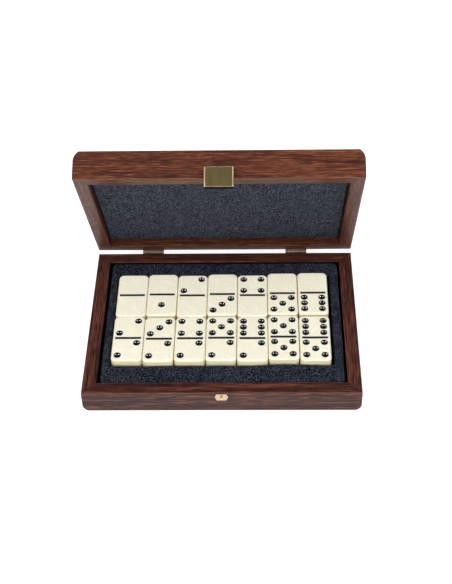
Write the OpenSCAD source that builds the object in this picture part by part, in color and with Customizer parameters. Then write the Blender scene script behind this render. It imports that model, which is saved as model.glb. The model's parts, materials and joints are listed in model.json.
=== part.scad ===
// Domino storage box: a mitred wooden case with a hinged lid, a foam insert and a double-six set.
// Millimetres, +Z up. The origin is the middle of the base's underside, and -Y is the front.
// The case is drawn with its lid open, as it is shown in use.

/* [Tiles] */
// Width of a tile
tile_w = 24; // [20:0.5:30]
// Length of a tile
tile_l = 47.4; // [40:0.1:60]
// Thickness of a tile
tile_t = 9.5; // [7:0.25:12]
// Radius of a tile's corners, seen from above
tile_corner_r = 3.8; // [2.6:0.1:5]
// Radius of a tile's edges, all the way round its faces
tile_edge_r = 1.5; // [0.6:0.1:2.5]
// Diameter of a pip
pip_d = 5.75; // [3:0.05:6]
// Depth of a pip's dish
pip_depth = 1.7; // [0.4:0.05:2]
// Spacing of the pips in a half, across the tile
pip_pitch_x = 7.05; // [6:0.05:7.5]
// Spacing of the pips in a half, along the tile
pip_pitch_y = 6.45; // [6:0.05:7.5]
// How far the middle of a half's pips lies from the half's own middle, away from the line
pip_shift = -0.15; // [-0.3:0.05:1]
// Length of the line across the middle of a tile
line_l = 20.3; // [12:0.1:21]
// Width of that line
line_w = 2.3; // [1:0.1:2.5]
// Depth of that line
line_depth = 0.6; // [0.3:0.05:1]

/* [Insert] */
// Gap between the left column of tiles and the well
left_gap = 0.55; // [0.4:0.05:2]
// Spare width of the well beyond its seven columns of tiles
well_play_w = 5; // [4:0.1:8]
// Spare length of the well beyond its two rows of tiles
well_play_l = 3.9; // [3.4:0.1:6]
// How far the well lies behind the middle of the insert
well_shift = 1.35; // [0:0.05:2]
// Foam left of and right of the well
foam_side = 6.6; // [5:0.1:14]
// Foam in front of and behind the well
foam_end = 16.55; // [8:0.05:24]
// Radius of the insert's outer corners
foam_corner_r = 4; // [1:0.5:8]
// Radius of the well's corners
well_corner_r = 1.5; // [0.5:0.1:2.5]
// Gap between the insert and the side walls
foam_gap_side = 2.2; // [0.5:0.1:4]
// Gap between the insert and the front and rear walls
foam_gap_end = 0.65; // [0.4:0.05:3]
// Depth of the insert's top below the base's rim
foam_below_rim = 1.2; // [0.5:0.1:4]
// Thickness of the felt on the floor
liner_t = 1; // [0.6:0.1:2]
// Gap between a lining and the walls round it
liner_gap = 0.4; // [0.2:0.1:1]

/* [Case] */
// Thickness of the walls
wall_t = 10.7; // [9:0.1:14]
// Thickness of the panels that close the base and the lid
panel_t = 3.1; // [2.4:0.1:5]
// Width of the step that a panel is let into
rabbet_w = 2.5; // [1.5:0.1:3]
// Gap round a panel in its step
panel_gap = 0.1; // [0.05:0.05:0.3]
// How far the tiles stand above the base's rim
tile_proud = 2.5; // [1:0.1:4]
// Height of the lid, from its rim to its top
lid_h = 22.6; // [20:0.1:34]
// Air between the tiles and the pad of the closed lid
pad_clear = 3; // [1:0.1:6]
// Radius of the base's lower edges at its left and right ends
base_end_r = 6.5; // [3:0.1:7]
// Radius of the lid's upper edges at its left and right ends
lid_end_r = 10; // [8:0.1:14]
// Height of the arc that this radius makes before it meets the top
lid_end_arc = 8.2; // [3:0.1:9]
// Radius of the other long edges
edge_r = 0.8; // [0.3:0.1:1.4]
// Gap between the rims when the lid is closed
rim_gap = 0.2; // [0.1:0.05:0.6]
// Angle that the lid stands open, from closed
lid_open = 62; // [0:1:110]

/* [Hinges] */
// Distance from the middle of the case to the middle of each hinge
hinge_x = 60; // [40:1:75]
// Width of a hinge
hinge_w = 17.5; // [14:0.5:26]
// Height of a leaf from the axis
leaf_h = 11; // [9:0.5:14]
// Thickness of a leaf
leaf_t = 1; // [0.6:0.1:1.2]
// Outer radius of a knuckle
knuckle_r = 2.2; // [1.8:0.1:3]
// Gap between a knuckle and the wood
knuckle_clear = 0.2; // [0.15:0.05:0.5]
// Gap between neighbouring knuckles
knuckle_gap = 0.15; // [0.1:0.05:0.3]
// Number of knuckles in a hinge
knuckles = 5; // [3:2:7]
// Radius of a hinge pin
hinge_pin_r = 1; // [0.7:0.1:1.2]
// Clearance of every pin in its barrel
pin_clear = 0.05; // [0.03:0.01:0.08]
// Distance between the two screws of a leaf
screw_pitch = 9.6; // [8:0.2:12]
// Distance from the axis to the screws
screw_drop = 7; // [5.5:0.1:8]
// Radius of a screw's head
screw_head_r = 1.7; // [1.3:0.1:2]
// Radius of a screw's shank
screw_shank_r = 0.8; // [0.5:0.05:1]
// Length of a screw
screw_l = 7; // [4:0.5:8]

/* [Latch] */
// Width of the latch plate
flap_w = 21.6; // [16:0.2:30]
// Height of the latch plate's top above the lid's rim
flap_top = 7.2; // [6:0.1:12]
// How far the latch plate hangs past the lid's rim
flap_drop = 8.9; // [7.6:0.1:11]
// Distance from the wall to the face of the latch plate
flap_out = 5.6; // [4.8:0.1:6.5]
// Thickness of the latch plate
flap_t = 1; // [0.7:0.1:1.2]
// Width of the raised edges of the latch plate
flap_rail_w = 0.9; // [0.6:0.1:1.4]
// Height of those edges above the face
flap_rail_h = 0.3; // [0.1:0.05:0.6]
// Play between the lip and the stud that it hooks under
lip_play = 0.5; // [0.3:0.05:0.8]
// Gap between the lip's tip and the wall
lip_gap = 1.1; // [1:0.05:1.4]
// Distance from the wall to the latch's hinge axis
latch_axis_out = 2.1; // [1.9:0.05:2.4]
// Distance from the latch plate's top edge down to that axis
latch_axis_down = 1.6; // [1.5:0.05:1.7]
// Outer radius of the latch's barrels
latch_barrel_r = 1.5; // [1.2:0.05:1.6]
// Radius of the latch's pin
latch_pin_r = 0.6; // [0.4:0.05:0.8]
// Width of the middle barrel
latch_barrel_w = 8.6; // [6:0.2:10]
// Gap between the middle barrel and the two beside it
latch_barrel_gap = 0.4; // [0.2:0.05:0.6]
// Thickness of the mount plate behind the latch
mount_t = 0.8; // [0.5:0.1:0.9]
// Width of the mount plate
mount_w = 18; // [13:0.2:18.4]
// Height of the mount plate's lower edge above the lid's rim
mount_low = 0.8; // [0.4:0.1:1]
// Height of the mount plate's shoulders above the lid's rim
mount_high = 3.6; // [3:0.1:3.8]
// Distance between the two brads of the mount plate
brad_pitch = 12.4; // [9:0.2:13]
// Radius of a brad's head
brad_head_r = 1; // [0.8:0.1:1.1]
// Height of a brad's head
brad_head_h = 0.7; // [0.4:0.1:1]
// Radius of a brad's shank
brad_shank_r = 0.6; // [0.4:0.05:0.8]
// Length of a brad's shank
brad_l = 6.5; // [4:0.5:8]
// Width of the keeper plate between its points
keeper_w = 10.4; // [9:0.1:14]
// Height of the keeper plate
keeper_h = 7.2; // [5.6:0.1:7.6]
// Length of the keeper plate's flat top edge
keeper_flat = 7.2; // [4:0.1:8]
// Thickness of the keeper plate
keeper_t = 0.8; // [0.5:0.05:0.85]
// Distance from the base's rim down to the keeper plate
keeper_below_rim = 0.6; // [0.6:0.1:1.2]
// Radius of the keeper's stud
stud_r = 1.2; // [0.8:0.05:1.3]
// Distance from the wall to the stud's face
stud_out = 2.6; // [2.2:0.1:3]
// Radius of the stud's shank in the wood
stud_shank_r = 0.7; // [0.5:0.05:0.8]
// Length of that shank
stud_l = 7; // [4:0.5:9]

/* [Hidden] */
$fn = 48;
// Overrun of every cut past the face that it opens
cut = 1;
columns = 7;
// How far each column of tiles stands from the first beyond the widths of the columns before it
column_shift = [0, 0.3, 0.7, 1, 1.35, 1.65, 2.15];
// Gap between each column's rear tiles and the well's rear wall, from left to right
rear_gap = [2.1, 1.4, 2.6, 1.3, 2.7, 0.6, 0.2];
// Gap between each column's rear and front tiles, from left to right
middle_gap = [0.1, 1.7, 0.1, 1, 0.1, 0.8, 2.2];
// The tiles of both layers, [rear half, front half], from left to right
upper_rear = [[0, 0], [0, 1], [2, 0], [0, 3], [4, 0], [0, 5], [0, 6]];
upper_front = [[2, 2], [3, 2], [4, 2], [5, 2], [6, 2], [5, 5], [6, 5]];
lower_rear = [[1, 1], [1, 2], [1, 3], [1, 4], [1, 5], [1, 6], [6, 6]];
lower_front = [[3, 3], [3, 4], [3, 5], [3, 6], [4, 4], [4, 5], [4, 6]];
rows = [upper_rear, upper_front, lower_rear, lower_front];

// The pips of each half, as steps of their spacing across and along
pip_corners = [[-1, -1], [1, 1], [-1, 1], [1, -1]];
pip_steps = [
    [],
    [[0, 0]],
    [[-1, -1], [1, 1]],
    [[-1, -1], [0, 0], [1, 1]],
    pip_corners,
    concat(pip_corners, [[0, 0]]),
    concat(pip_corners, [[-1, 0], [1, 0]])
];
half_centre = tile_l / 4 + pip_shift;
pip_sphere_r = (pow(pip_d / 2, 2) + pow(pip_depth, 2)) / (2 * pip_depth);

// The well holds two rows of tiles in two layers
well_w = columns * tile_w + well_play_w;
well_l = 2 * tile_l + well_play_l;
foam_w = well_w + 2 * foam_side;
foam_l = well_l + 2 * foam_end;
inner_w = foam_w + 2 * foam_gap_side;
inner_d = foam_l + 2 * foam_gap_end;
case_w = inner_w + 2 * wall_t;
case_d = inner_d + 2 * wall_t;
floor_z = panel_t + liner_t;
base_h = floor_z + 2 * tile_t - tile_proud;
foam_top = base_h - foam_below_rim;
pad_t = lid_h - panel_t - tile_proud - pad_clear;

// The hinge axis runs just behind the rear wall, between the rims
hinge_out = knuckle_r + knuckle_clear;
hinge_y = case_d / 2 + hinge_out;
hinge_z = base_h + rim_gap / 2;
knuckle_w = (hinge_w - (knuckles - 1) * knuckle_gap) / knuckles;
leaf_start = knuckle_r + 2 * knuckle_clear;
screw_xs = [-screw_pitch / 2, screw_pitch / 2];
hinge_xs = [-hinge_x, hinge_x];

// The lid's own rim lies at this height when it is closed
lid_z = base_h + rim_gap;
stud_z = base_h - keeper_below_rim - keeper_h / 2;
lip_top_z = stud_z - stud_r - lip_play - lid_z;
mount_mid_z = lid_z + (mount_low + mount_high) / 2;
front_y = -case_d / 2;

WOOD = "#6b4034";
FELT = "#2b303b";
BRASS = "#8f7a45";
BRIGHT_BRASS = "#d8bf8a";
IVORY = "#efe9cf";

function tile_name(tile) = str("domino_", min(tile[0], tile[1]), "_", max(tile[0], tile[1]));

// A rectangle centred on the origin with true arcs at its corners
module rounded_rect(w, l, r) {
    square([w - 2 * r, l], center = true);
    square([w, l - 2 * r], center = true);
    for (x = [-1, 1], y = [-1, 1])
        translate([x * (w / 2 - r), y * (l / 2 - r)])
            circle(r);
}

// What a rounded corner takes off, for a corner at the origin of a shape that fills +X +Y
module corner_waste(r) {
    difference() {
        translate([-cut, -cut])
            square([r + cut, r + cut]);
        translate([r, r])
            circle(r);
    }
}

// The same waste at one corner of a shape, turned to face into it
module waste_at(x, y, into_x, into_y, r) {
    translate([x, y])
        mirror([into_x > 0 ? 0 : 1, 0])
            mirror([0, into_y > 0 ? 0 : 1])
                corner_waste(r);
}

// Stretches a drawing of X and Z along Y, centred
module along_y(length) {
    translate([0, length / 2, 0])
        rotate([90, 0, 0])
            linear_extrude(length)
                children();
}

// Stretches a drawing of Y and Z along X, centred
module along_x(length) {
    translate([-length / 2, 0, 0])
        rotate([90, 0, 90])
            linear_extrude(length)
                children();
}

// A half of the case as seen from the front, its rim at 0 and its closed side up
module base_end_outline() {
    difference() {
        translate([-case_w / 2, 0])
            square([case_w, base_h]);
        for (side = [-1, 1]) {
            waste_at(side * case_w / 2, 0, -side, 1, edge_r);
            waste_at(side * case_w / 2, base_h, -side, -1, base_end_r);
        }
    }
}

// The lid's ends curve in and meet the top at an edge
module lid_end_outline() {
    difference() {
        translate([-case_w / 2, 0])
            square([case_w, lid_h]);
        for (side = [-1, 1]) {
            waste_at(side * case_w / 2, 0, -side, 1, edge_r);
            waste_at(side * case_w / 2, lid_h - lid_end_arc + lid_end_r, -side, -1, lid_end_r);
        }
    }
}

// A half of the case as seen from its end
module side_outline(h) {
    difference() {
        translate([-case_d / 2, 0])
            square([case_d, h]);
        for (y = [-1, 1]) {
            waste_at(y * case_d / 2, 0, -y, 1, edge_r);
            waste_at(y * case_d / 2, h, -y, -1, edge_r);
        }
    }
}

// The plan of one wall, with mitred ends that run past the outer corners
module mitre_plan(side) {
    reach = wall_t + cut;
    in_x = inner_w / 2;
    in_y = inner_d / 2;
    if (side == "front")
        polygon([[-in_x, -in_y], [-in_x - reach, -in_y - reach], [in_x + reach, -in_y - reach], [in_x, -in_y]]);
    if (side == "rear")
        polygon([[-in_x, in_y], [in_x, in_y], [in_x + reach, in_y + reach], [-in_x - reach, in_y + reach]]);
    if (side == "left")
        polygon([[-in_x, -in_y], [-in_x, in_y], [-in_x - reach, in_y + reach], [-in_x - reach, -in_y - reach]]);
    if (side == "right")
        polygon([[in_x, -in_y], [in_x + reach, -in_y - reach], [in_x + reach, in_y + reach], [in_x, in_y]]);
}

// The rounding of one wall's inner rim edge
module inner_edge_waste(side) {
    if (side == "front" || side == "rear") {
        out = side == "front" ? -1 : 1;
        along_x(case_w)
            waste_at(out * inner_d / 2, 0, out, 1, edge_r);
    } else {
        out = side == "left" ? -1 : 1;
        along_y(case_d)
            waste_at(out * inner_w / 2, 0, out, 1, edge_r);
    }
}

// One mitred wall with its rim at 0. Its children are the outline seen from the front.
module shell_wall(side, h) {
    difference() {
        intersection() {
            along_y(case_d)
                children();
            along_x(case_w)
                side_outline(h);
            translate([0, 0, -cut])
                linear_extrude(h + 2 * cut)
                    mitre_plan(side);
        }
        inner_edge_waste(side);
        translate([-inner_w / 2 - rabbet_w, -inner_d / 2 - rabbet_w, h - panel_t])
            cube([inner_w + 2 * rabbet_w, inner_d + 2 * rabbet_w, panel_t + cut]);
    }
}

module base_place() {
    translate([0, 0, base_h])
        mirror([0, 0, 1])
            children();
}

// Turns the closed lid's pieces about the hinge axis
module lid_place() {
    translate([0, hinge_y, hinge_z])
        rotate([-lid_open, 0, 0])
            translate([0, -hinge_y, -hinge_z])
                children();
}

// A rod along X
module rod(r, length) {
    rotate([0, 90, 0])
        cylinder(r = r, h = length, center = true);
}

// A hole into the wood, inwards from the front or rear face
module pilot_hole(x, z, r, length, face) {
    translate([x, face * case_d / 2, z])
        rotate([face * 90, 0, 0])
            translate([0, 0, -cut])
                cylinder(r = r, h = length + cut);
}

module hinge_pilot_holes(z) {
    for (hx = hinge_xs, sx = screw_xs)
        pilot_hole(hx + sx, z, screw_shank_r + pin_clear, screw_l, 1);
}

module base_wall(side) {
    color(WOOD)
        difference() {
            base_place()
                shell_wall(side, base_h)
                    base_end_outline();
            if (side == "rear")
                hinge_pilot_holes(hinge_z - screw_drop);
            if (side == "front")
                pilot_hole(0, stud_z, stud_shank_r + pin_clear, stud_l, -1);
        }
}

module lid_wall(side) {
    color(WOOD)
        lid_place()
            difference() {
                translate([0, 0, lid_z])
                    shell_wall(side, lid_h)
                        lid_end_outline();
                if (side == "rear")
                    hinge_pilot_holes(hinge_z + screw_drop);
                if (side == "front")
                    for (x = [-1, 1])
                        pilot_hole(x * brad_pitch / 2, mount_mid_z, brad_shank_r + pin_clear, brad_l, -1);
            }
}

module panel() {
    w = inner_w + 2 * (rabbet_w - panel_gap);
    d = inner_d + 2 * (rabbet_w - panel_gap);
    translate([-w / 2, -d / 2, 0])
        cube([w, d, panel_t]);
}

module base_panel() {
    color(WOOD)
        panel();
}

module lid_panel() {
    color(WOOD)
        lid_place()
            translate([0, 0, lid_z + lid_h - panel_t])
                panel();
}

module floor_liner() {
    color(FELT)
        translate([0, 0, panel_t])
            linear_extrude(liner_t)
                square([inner_w - 2 * liner_gap, inner_d - 2 * liner_gap], center = true);
}

module foam_insert() {
    color(FELT)
        translate([0, 0, floor_z])
            linear_extrude(foam_top - floor_z)
                difference() {
                    rounded_rect(foam_w, foam_l, foam_corner_r);
                    translate([0, well_shift])
                        rounded_rect(well_w, well_l, well_corner_r);
                }
}

module lid_pad() {
    color(FELT)
        lid_place()
            translate([0, 0, lid_z + lid_h - panel_t - pad_t])
                linear_extrude(pad_t)
                    rounded_rect(inner_w - 2 * liner_gap, inner_d - 2 * liner_gap, well_corner_r);
}

// One leaf below the axis, with the knuckles that start at this one and every second after it
module hinge_leaf(first) {
    difference() {
        union() {
            translate([-hinge_w / 2, -hinge_out, -leaf_h])
                cube([hinge_w, leaf_t, leaf_h - leaf_start]);
            for (k = [first:2:knuckles - 1]) {
                x = -hinge_w / 2 + k * (knuckle_w + knuckle_gap);
                translate([x, -hinge_out, -leaf_start - leaf_t])
                    cube([knuckle_w, leaf_t, leaf_start + leaf_t]);
                translate([x + knuckle_w / 2, 0, 0])
                    rod(knuckle_r, knuckle_w);
            }
        }
        rod(hinge_pin_r + pin_clear, hinge_w + 2 * cut);
        for (x = screw_xs)
            translate([x, -hinge_out, -screw_drop])
                rotate([-90, 0, 0])
                    countersink();
    }
}

// A countersunk hole through a leaf
module countersink() {
    translate([0, 0, -cut])
        cylinder(r = screw_shank_r + pin_clear, h = leaf_t + 2 * cut);
    cylinder(r1 = screw_shank_r + pin_clear, r2 = screw_head_r + pin_clear, h = leaf_t);
    translate([0, 0, leaf_t])
        cylinder(r = screw_head_r + pin_clear, h = cut);
}

module hinge_base_leaf(x) {
    color(BRASS)
        translate([x, hinge_y, hinge_z])
            hinge_leaf(0);
}

module hinge_lid_leaf(x) {
    color(BRASS)
        lid_place()
            translate([x, hinge_y, hinge_z])
                mirror([0, 0, 1])
                    hinge_leaf(1);
}

module hinge_pin(x) {
    color(BRASS)
        translate([x, hinge_y, hinge_z])
            rod(hinge_pin_r, hinge_w);
}

// A countersunk screw that points into the rear wall
module hinge_screw(x, z) {
    translate([x, case_d / 2, z])
        rotate([-90, 0, 0]) {
            translate([0, 0, -screw_l])
                cylinder(r = screw_shank_r, h = screw_l);
            cylinder(r1 = screw_shank_r, r2 = screw_head_r, h = leaf_t);
        }
}

module base_hinge_screws() {
    color(BRASS)
        for (hx = hinge_xs, sx = screw_xs)
            hinge_screw(hx + sx, hinge_z - screw_drop);
}

module lid_hinge_screws() {
    color(BRASS)
        lid_place()
            for (hx = hinge_xs, sx = screw_xs)
                hinge_screw(hx + sx, hinge_z + screw_drop);
}

// The hexagonal plate on the front of the base, pointed left and right
module keeper_plate() {
    color(BRIGHT_BRASS)
        translate([0, front_y, stud_z])
            rotate([90, 0, 0])
                linear_extrude(keeper_t)
                    difference() {
                        polygon([
                            [-keeper_w / 2, 0], [-keeper_flat / 2, -keeper_h / 2],
                            [keeper_flat / 2, -keeper_h / 2], [keeper_w / 2, 0],
                            [keeper_flat / 2, keeper_h / 2], [-keeper_flat / 2, keeper_h / 2]
                        ]);
                        circle(stud_shank_r + pin_clear);
                    }
}

// A stud with a shank in the wood, a head on the plate and a domed face
module keeper_stud() {
    dome_h = stud_r / 2;
    dome_r = (stud_r * stud_r + dome_h * dome_h) / (2 * dome_h);
    color(BRIGHT_BRASS)
        translate([0, front_y, stud_z])
            rotate([90, 0, 0]) {
                translate([0, 0, -stud_l])
                    cylinder(r = stud_shank_r, h = stud_l + keeper_t);
                translate([0, 0, keeper_t])
                    intersection() {
                        cylinder(r = stud_r, h = stud_out - keeper_t);
                        translate([0, 0, stud_out - keeper_t - dome_r])
                            sphere(dome_r);
                    }
            }
}

// A latch piece in the closed lid's place: X across, Y out from the wall, Z up from the lid's rim
module latch_place() {
    lid_place()
        translate([0, front_y, lid_z])
            mirror([0, 1, 0])
                children();
}

module latch_axis_place() {
    translate([0, latch_axis_out, flap_top - latch_axis_down])
        children();
}

module latch_mount() {
    axis_z = flap_top - latch_axis_down;
    color(BRASS)
        latch_place()
            difference() {
                union() {
                    translate([-mount_w / 2, 0, mount_low])
                        cube([mount_w, mount_t, mount_high - mount_low]);
                    translate([-latch_barrel_w / 2, 0, mount_high - mount_t])
                        cube([latch_barrel_w, mount_t, axis_z - mount_high + mount_t]);
                    translate([-latch_barrel_w / 2, 0, axis_z - latch_barrel_r])
                        cube([latch_barrel_w, latch_axis_out, latch_barrel_r]);
                    latch_axis_place()
                        rod(latch_barrel_r, latch_barrel_w);
                }
                latch_axis_place()
                    rod(latch_pin_r + pin_clear, mount_w);
                for (x = [-1, 1])
                    translate([x * brad_pitch / 2, mount_t + cut, (mount_low + mount_high) / 2])
                        rotate([90, 0, 0])
                            cylinder(r = brad_shank_r + pin_clear, h = mount_t + 2 * cut);
            }
}

// The latch plate: a face with raised edges, side flanges, a lip below and two barrels above
module latch_flap() {
    h = flap_top + flap_drop;
    flange_t = flap_rail_w;
    barrel_start = latch_barrel_w / 2 + latch_barrel_gap;
    barrel_w = flap_w / 2 - barrel_start;
    color(BRASS)
        latch_place()
            difference() {
                union() {
                    translate([-flap_w / 2, flap_out - flap_t, -flap_drop])
                        cube([flap_w, flap_t, h]);
                    translate([-flap_w / 2, lip_gap, -flap_drop])
                        cube([flap_w, flap_out - lip_gap, lip_top_z + flap_drop]);
                    for (side = [-1, 1]) {
                        translate([side * (flap_w - flange_t) / 2 - flange_t / 2, lip_gap, -flap_drop])
                            cube([flange_t, flap_out + flap_rail_h - lip_gap, h]);
                        translate([side * (barrel_start + barrel_w / 2), 0, 0])
                            latch_axis_place() {
                                rod(latch_barrel_r, barrel_w);
                                translate([-barrel_w / 2, 0, -latch_barrel_r])
                                    cube([barrel_w, flap_out - flap_t / 2 - latch_axis_out, 2 * latch_barrel_r]);
                            }
                    }
                }
                latch_axis_place()
                    rod(latch_pin_r + pin_clear, flap_w + 2 * cut);
            }
}

module latch_pin() {
    color(BRASS)
        latch_place()
            latch_axis_place()
                rod(latch_pin_r, flap_w);
}

module latch_brads() {
    dome_r = (brad_head_r * brad_head_r + brad_head_h * brad_head_h) / (2 * brad_head_h);
    color(BRASS)
        latch_place()
            for (x = [-1, 1])
                translate([x * brad_pitch / 2, mount_t, (mount_low + mount_high) / 2])
                    rotate([-90, 0, 0]) {
                        translate([0, 0, -mount_t - brad_l])
                            cylinder(r = brad_shank_r, h = mount_t + brad_l);
                        intersection() {
                            cylinder(r = brad_head_r, h = brad_head_h);
                            translate([0, 0, brad_head_h - dome_r])
                                sphere(dome_r);
                        }
                    }
}

// Half of the section through a tile's corner, from the corner's axis outwards
module tile_corner_profile() {
    flat_w = tile_corner_r - tile_edge_r;
    translate([0, -tile_t / 2])
        square([flat_w, tile_t]);
    translate([0, tile_edge_r - tile_t / 2])
        square([tile_corner_r, tile_t - 2 * tile_edge_r]);
    for (z = [-1, 1])
        translate([flat_w, z * (tile_t / 2 - tile_edge_r)])
            circle(tile_edge_r);
}

// A tile lying on its back, centred, with its lower face at 0. Its edges run round its corners.
module tile_blank() {
    between_x = tile_w - 2 * tile_corner_r;
    between_y = tile_l - 2 * tile_corner_r;
    translate([0, 0, tile_t / 2]) {
        along_x(between_x)
            rounded_rect(tile_l, tile_t, tile_edge_r);
        along_y(between_y)
            rounded_rect(tile_w, tile_t, tile_edge_r);
        for (x = [-1, 1], y = [-1, 1])
            translate([x * between_x / 2, y * between_y / 2])
                rotate_extrude()
                    tile_corner_profile();
    }
}

// A tile with dished pips, the first number on its rear half, and a line between the halves
module domino(tile) {
    difference() {
        tile_blank();
        for (half = [0, 1], step = pip_steps[tile[half]])
            translate([
                step[0] * pip_pitch_x,
                (half == 0 ? 1 : -1) * half_centre + step[1] * pip_pitch_y,
                tile_t + pip_sphere_r - pip_depth
            ])
                sphere(pip_sphere_r);
        translate([-line_l / 2, -line_w / 2, tile_t - line_depth])
            cube([line_l, line_w, line_depth + cut]);
    }
}

// A tile in its place: the row of the list that it is in, and its column
module placed_domino(row, column) {
    layer = row < 2 ? 1 : 0;
    in_front = row % 2;
    x = -well_w / 2 + left_gap + tile_w / 2 + column * tile_w + column_shift[column];
    rear_y = well_shift + well_l / 2 - rear_gap[column] - tile_l / 2;
    y = rear_y - in_front * (tile_l + middle_gap[column]);
    color(IVORY)
        translate([x, y, floor_z + layer * tile_t])
            domino(rows[row][column]);
}

base_wall("front");  // base_front_wall
base_wall("rear");  // base_rear_wall
base_wall("left");  // base_left_wall
base_wall("right");  // base_right_wall
base_panel();
floor_liner();
foam_insert();
lid_wall("front");  // lid_front_wall
lid_wall("rear");  // lid_rear_wall
lid_wall("left");  // lid_left_wall
lid_wall("right");  // lid_right_wall
lid_panel();
lid_pad();
hinge_base_leaf(-hinge_x);  // left_hinge_base_leaf
hinge_lid_leaf(-hinge_x);  // left_hinge_lid_leaf
hinge_pin(-hinge_x);  // left_hinge_pin
hinge_base_leaf(hinge_x);  // right_hinge_base_leaf
hinge_lid_leaf(hinge_x);  // right_hinge_lid_leaf
hinge_pin(hinge_x);  // right_hinge_pin
base_hinge_screws();
lid_hinge_screws();
keeper_plate();
keeper_stud();
latch_mount();
latch_flap();
latch_pin();
latch_brads();
for (row = [0:len(rows) - 1], column = [0:columns - 1])
    placed_domino(row, column);
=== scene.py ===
import json
import math

import bmesh
import bpy
from mathutils import Matrix, Vector, noise


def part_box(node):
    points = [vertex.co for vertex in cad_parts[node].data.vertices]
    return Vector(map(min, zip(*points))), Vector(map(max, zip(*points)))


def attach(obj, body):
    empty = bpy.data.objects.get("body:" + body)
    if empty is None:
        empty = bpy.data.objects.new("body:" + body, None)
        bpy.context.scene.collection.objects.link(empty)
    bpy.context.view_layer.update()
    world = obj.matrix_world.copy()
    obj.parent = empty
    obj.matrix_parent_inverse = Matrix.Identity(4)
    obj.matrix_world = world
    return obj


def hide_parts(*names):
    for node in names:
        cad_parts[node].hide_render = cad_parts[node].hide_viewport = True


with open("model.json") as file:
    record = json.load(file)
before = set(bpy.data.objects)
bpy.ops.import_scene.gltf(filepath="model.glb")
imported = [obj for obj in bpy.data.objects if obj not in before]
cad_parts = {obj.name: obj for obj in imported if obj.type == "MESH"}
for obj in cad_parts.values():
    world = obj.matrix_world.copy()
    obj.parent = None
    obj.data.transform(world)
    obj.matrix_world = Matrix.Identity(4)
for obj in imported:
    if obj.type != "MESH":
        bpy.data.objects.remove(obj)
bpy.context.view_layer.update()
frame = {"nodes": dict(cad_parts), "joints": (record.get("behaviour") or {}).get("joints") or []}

MM = 0.001
joints = {joint["name"]: joint for joint in frame["joints"]}

# The lid is packed open. Its pieces are drawn closed and turned about the hinge pins.
lid_open = -math.radians(joints["lid_hinge"]["range_deg"][0])
hinge_line = Vector(joints["lid_hinge"]["pos_m"])
lid_turn = (Matrix.Translation(hinge_line) @ Matrix.Rotation(-lid_open, 4, "X")
            @ Matrix.Translation(-hinge_line))


def closed_box(node):
    """The lowest and highest corners that a lid's node has when the lid is closed."""
    back = lid_turn.inverted()
    corners = [back @ vertex.co for vertex in frame["nodes"][node].data.vertices]
    return tuple(Vector([pick(corner[axis] for corner in corners) for axis in range(3)]) for pick in (min, max))


# The walls' inner faces, from the panel that lies 2.4 mm into a step of them
inner_x, inner_y = (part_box("base_panel")[1][axis] - 2.4 * MM for axis in (0, 1))


# Helpers for shader and shape trees


def put(tree, socket, value):
    """Links a socket to another, or sets its constant."""
    if isinstance(value, bpy.types.NodeSocket):
        tree.links.new(value, socket)
    else:
        socket.default_value = value


def add(tree, kind, inputs=None, **settings):
    """Adds a node with its settings and its inputs, by name or place."""
    node = tree.nodes.new(kind)
    for name, value in settings.items():
        setattr(node, name, value)
    for name, value in (inputs or {}).items():
        put(tree, node.inputs[name], value)
    return node


def maths(tree, operation, *values):
    return add(tree, "ShaderNodeMath", dict(enumerate(values)), operation=operation).outputs[0]


def vector_maths(tree, operation, *values):
    return add(tree, "ShaderNodeVectorMath", dict(enumerate(values)), operation=operation).outputs[0]


def noise_value(tree, vector, scale, detail=2.0, roughness=0.5, distortion=0.0):
    node = add(tree, "ShaderNodeTexNoise", {"Vector": vector, "Scale": scale, "Detail": detail,
                                            "Roughness": roughness, "Distortion": distortion})
    return node.outputs[0]


def stretched(tree, vector, along_x, along_y, along_z):
    return vector_maths(tree, "MULTIPLY", vector, (along_x, along_y, along_z))


def scaled(tree, vector, amount):
    return add(tree, "ShaderNodeVectorMath", {0: vector, "Scale": amount}, operation="SCALE").outputs[0]


def step_up(tree, value, low, high, to_low=0.0, to_high=1.0):
    node = add(tree, "ShaderNodeMapRange", {"Value": value, "From Min": low, "From Max": high,
                                            "To Min": to_low, "To Max": to_high},
               interpolation_type="SMOOTHSTEP")
    return node.outputs[0]


def blend_colours(tree, factor, first, second, blend="MIX"):
    node = add(tree, "ShaderNodeMix", data_type="RGBA", blend_type=blend)
    put(tree, node.inputs[0], factor)
    put(tree, node.inputs[6], first)
    put(tree, node.inputs[7], second)
    return node.outputs[2]


def ramp(tree, value, *stops):
    """A colour ramp from (place, colour) stops."""
    node = add(tree, "ShaderNodeValToRGB", {"Fac": value})
    elements = node.color_ramp.elements
    while len(elements) < len(stops):
        elements.new(0.5)
    for element, (place, colour) in zip(elements, stops):
        element.position = place
        element.color = (*colour, 1.0)
    return node.outputs[0]


def new_group(name, inputs, outputs):
    """A shader group with named sockets. Returns its tree, its input sockets and its output node."""
    tree = bpy.data.node_groups.new(name, "ShaderNodeTree")
    for socket, kind, value in inputs:
        made = tree.interface.new_socket(socket, in_out="INPUT", socket_type="NodeSocket" + kind)
        if value is not None:
            made.default_value = value
    for socket, kind in outputs:
        tree.interface.new_socket(socket, in_out="OUTPUT", socket_type="NodeSocket" + kind)
    entry = tree.nodes.new("NodeGroupInput")
    return tree, {socket.name: socket for socket in entry.outputs}, tree.nodes.new("NodeGroupOutput")


def place_group(tree, group, inputs):
    node = tree.nodes.new("ShaderNodeGroup")
    node.node_tree = group
    for name, value in inputs.items():
        put(tree, node.inputs[name], value)
    return {socket.name: socket for socket in node.outputs}


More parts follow.
